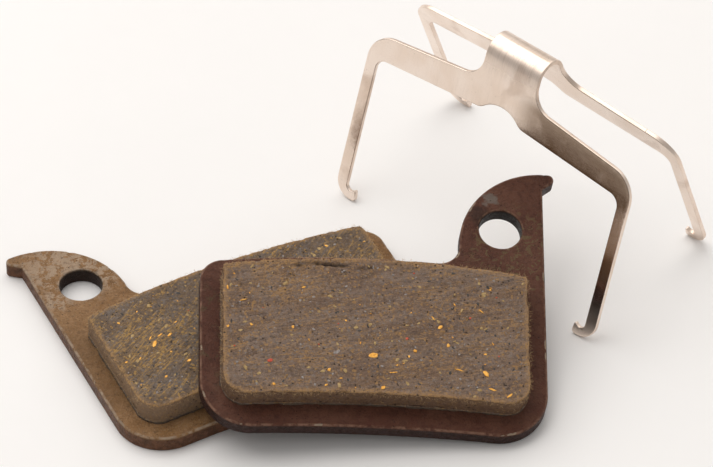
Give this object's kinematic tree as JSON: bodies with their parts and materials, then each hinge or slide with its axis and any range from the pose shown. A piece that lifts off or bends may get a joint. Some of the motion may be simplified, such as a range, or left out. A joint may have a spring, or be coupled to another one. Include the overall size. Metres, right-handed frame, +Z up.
{
  "type": "disc brake pad set",
  "caption": "Disc brake pad set: steel backing plates with finned pin-hole ears, bonded friction blocks, and a bent spring clip that spreads the pads.",
  "frame": {"origin": "on the axis of the lower pad's pin hole, at its back face, which is the surface that the set lies on", "axes": "+Z up along the lower pad's pin hole; +X along the clip's long side; +Y away from the pads, towards the clip's rear frame"},
  "size_m": [0.057, 0.0608, 0.0242],
  "materials": {
    "plate_coat_dark": "semi-gloss dark red-brown coat, worn at the edges",
    "plate_coat_tan": "semi-gloss tan-brown coat, dusty",
    "adhesive": "matt adhesive",
    "friction_grey": "rough pressed compound with metal flakes",
    "friction_olive": "rough pressed compound with metal flakes",
    "spring_steel": "satin rolled stainless strip"
  },
  "bodies": {
    "lower_pad": {"lower_backing_plate": "plate_coat_tan", "lower_bond_layer": "adhesive", "lower_friction_block": "friction_olive"},
    "upper_pad": {"upper_backing_plate": "plate_coat_dark", "upper_bond_layer": "adhesive", "upper_friction_block": "friction_grey"},
    "clip_arch": {"clip_arch": "spring_steel"},
    "clip_front": {"clip_front_legs": "spring_steel"},
    "clip_rear": {"clip_rear_legs": "spring_steel"}
  },
  "joints": [
    {"name": "upper_pad_lift", "type": "slide", "parent": "lower_pad", "child": "upper_pad", "axis": [0, -0.6, 0.8], "range_m": [0, 0.02]},
    {"name": "clip_lift", "type": "slide", "parent": "lower_pad", "child": "clip_arch", "axis": [0, 0, 1], "range_m": [0, 0.03]},
    {"name": "front_legs_flex", "type": "hinge", "parent": "clip_arch", "child": "clip_front", "pos_m": [0.0272, 0.03719, 0.0226], "axis": [1, 0, 0], "range_deg": [0, 12], "stiffness_Nm_per_rad": 0.1},
    {"name": "rear_legs_flex", "type": "hinge", "parent": "clip_arch", "child": "clip_rear", "pos_m": [0.0272, 0.04021, 0.0226], "axis": [-1, 0, 0], "range_deg": [0, 12], "stiffness_Nm_per_rad": 0.1}
  ],
  "couplings": [
    {"joint": "rear_legs_flex", "follows": "front_legs_flex", "ratio": 1}
  ]
}
